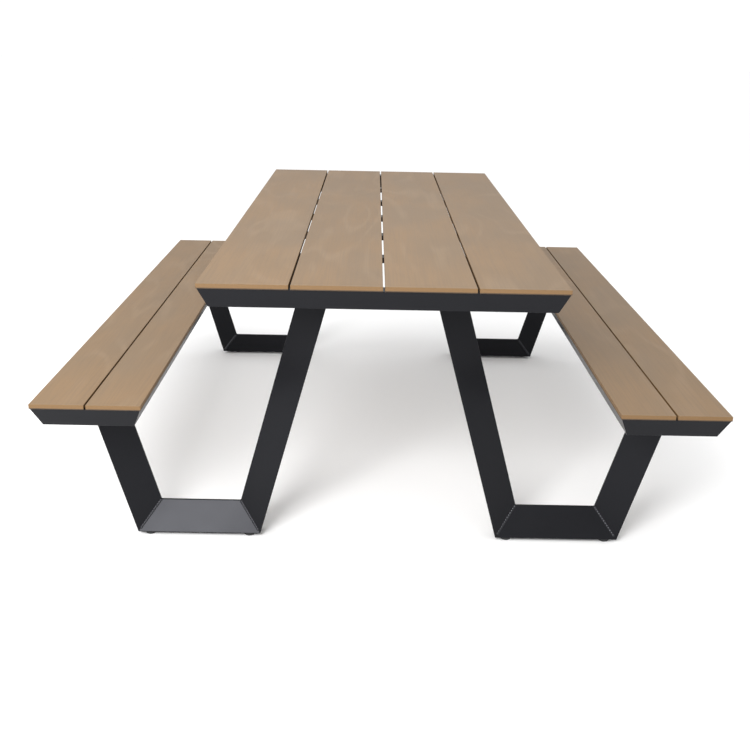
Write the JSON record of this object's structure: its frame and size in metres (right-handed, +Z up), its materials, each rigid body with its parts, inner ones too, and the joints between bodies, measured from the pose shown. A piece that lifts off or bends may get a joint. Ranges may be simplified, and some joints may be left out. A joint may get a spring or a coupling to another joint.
{
  "type": "picnic table",
  "caption": "Picnic table with a slatted top and two attached slatted benches on bevelled metal frames and U-shaped legs with levelling feet.",
  "frame": {"origin": "on the floor, under the middle of the table", "axes": "+Z up, +Y along the table and the benches, +X across, from one bench to the other"},
  "size_m": [1.72, 2, 0.75],
  "materials": {
    "planks": "matte",
    "frame": "satin",
    "feet": "matte",
    "fasteners": "satin"
  },
  "bodies": {
    "table": {"bench_left_carriers": "frame", "bench_left_cross_rails": "frame", "bench_left_end_rail_back": "frame", "bench_left_end_rail_front": "frame", "bench_left_plank_inner": "planks", "bench_left_plank_outer": "planks", "bench_left_side_rail_inner": "frame", "bench_left_side_rail_outer": "frame", "bench_leg_back_left": "frame", "bench_leg_back_right": "frame", "bench_leg_front_left": "frame", "bench_leg_front_right": "frame", "bench_leg_head_plates": "frame", "bench_right_carriers": "frame", "bench_right_cross_rails": "frame", "bench_right_end_rail_back": "frame", "bench_right_end_rail_front": "frame", "bench_right_plank_inner": "planks", "bench_right_plank_outer": "planks", "bench_right_side_rail_inner": "frame", "bench_right_side_rail_outer": "frame", "foot_bar_back_left": "frame", "foot_bar_back_right": "frame", "foot_bar_front_left": "frame", "foot_bar_front_right": "frame", "foot_inserts": "fasteners", "leg_bolts": "fasteners", "leg_nuts": "fasteners", "plank_screws": "fasteners", "table_carrier_back_left": "frame", "table_carrier_back_right": "frame", "table_carrier_front_left": "frame", "table_carrier_front_right": "frame", "table_cross_rail_1": "frame", "table_cross_rail_2": "frame", "table_cross_rail_3": "frame", "table_cross_rail_4": "frame", "table_cross_rail_5": "frame", "table_end_rail_back": "frame", "table_end_rail_front": "frame", "table_leg_back_left": "frame", "table_leg_back_right": "frame", "table_leg_front_left": "frame", "table_leg_front_right": "frame", "table_leg_head_plates": "frame", "table_plank_1": "planks", "table_plank_2": "planks", "table_plank_3": "planks", "table_plank_4": "planks", "table_side_rail_left": "frame", "table_side_rail_right": "frame"},
    "levelling_foot_back_left_bench_side": {"foot_back_left_bench_side": "feet"},
    "levelling_foot_back_left_table_side": {"foot_back_left_table_side": "feet"},
    "levelling_foot_back_right_bench_side": {"foot_back_right_bench_side": "feet"},
    "levelling_foot_back_right_table_side": {"foot_back_right_table_side": "feet"},
    "levelling_foot_front_left_bench_side": {"foot_front_left_bench_side": "feet"},
    "levelling_foot_front_left_table_side": {"foot_front_left_table_side": "feet"},
    "levelling_foot_front_right_bench_side": {"foot_front_right_bench_side": "feet"},
    "levelling_foot_front_right_table_side": {"foot_front_right_table_side": "feet"}
  },
  "joints": [
    {"name": "screw_foot_back_left_bench_side", "type": "slide", "parent": "table", "child": "levelling_foot_back_left_bench_side", "axis": [0, 0, -1], "range_m": [0, 0.008]},
    {"name": "screw_foot_back_left_table_side", "type": "slide", "parent": "table", "child": "levelling_foot_back_left_table_side", "axis": [0, 0, -1], "range_m": [0, 0.008]},
    {"name": "screw_foot_back_right_bench_side", "type": "slide", "parent": "table", "child": "levelling_foot_back_right_bench_side", "axis": [0, 0, -1], "range_m": [0, 0.008]},
    {"name": "screw_foot_back_right_table_side", "type": "slide", "parent": "table", "child": "levelling_foot_back_right_table_side", "axis": [0, 0, -1], "range_m": [0, 0.008]},
    {"name": "screw_foot_front_left_bench_side", "type": "slide", "parent": "table", "child": "levelling_foot_front_left_bench_side", "axis": [0, 0, -1], "range_m": [0, 0.008]},
    {"name": "screw_foot_front_left_table_side", "type": "slide", "parent": "table", "child": "levelling_foot_front_left_table_side", "axis": [0, 0, -1], "range_m": [0, 0.008]},
    {"name": "screw_foot_front_right_bench_side", "type": "slide", "parent": "table", "child": "levelling_foot_front_right_bench_side", "axis": [0, 0, -1], "range_m": [0, 0.008]},
    {"name": "screw_foot_front_right_table_side", "type": "slide", "parent": "table", "child": "levelling_foot_front_right_table_side", "axis": [0, 0, -1], "range_m": [0, 0.008]}
  ]
}
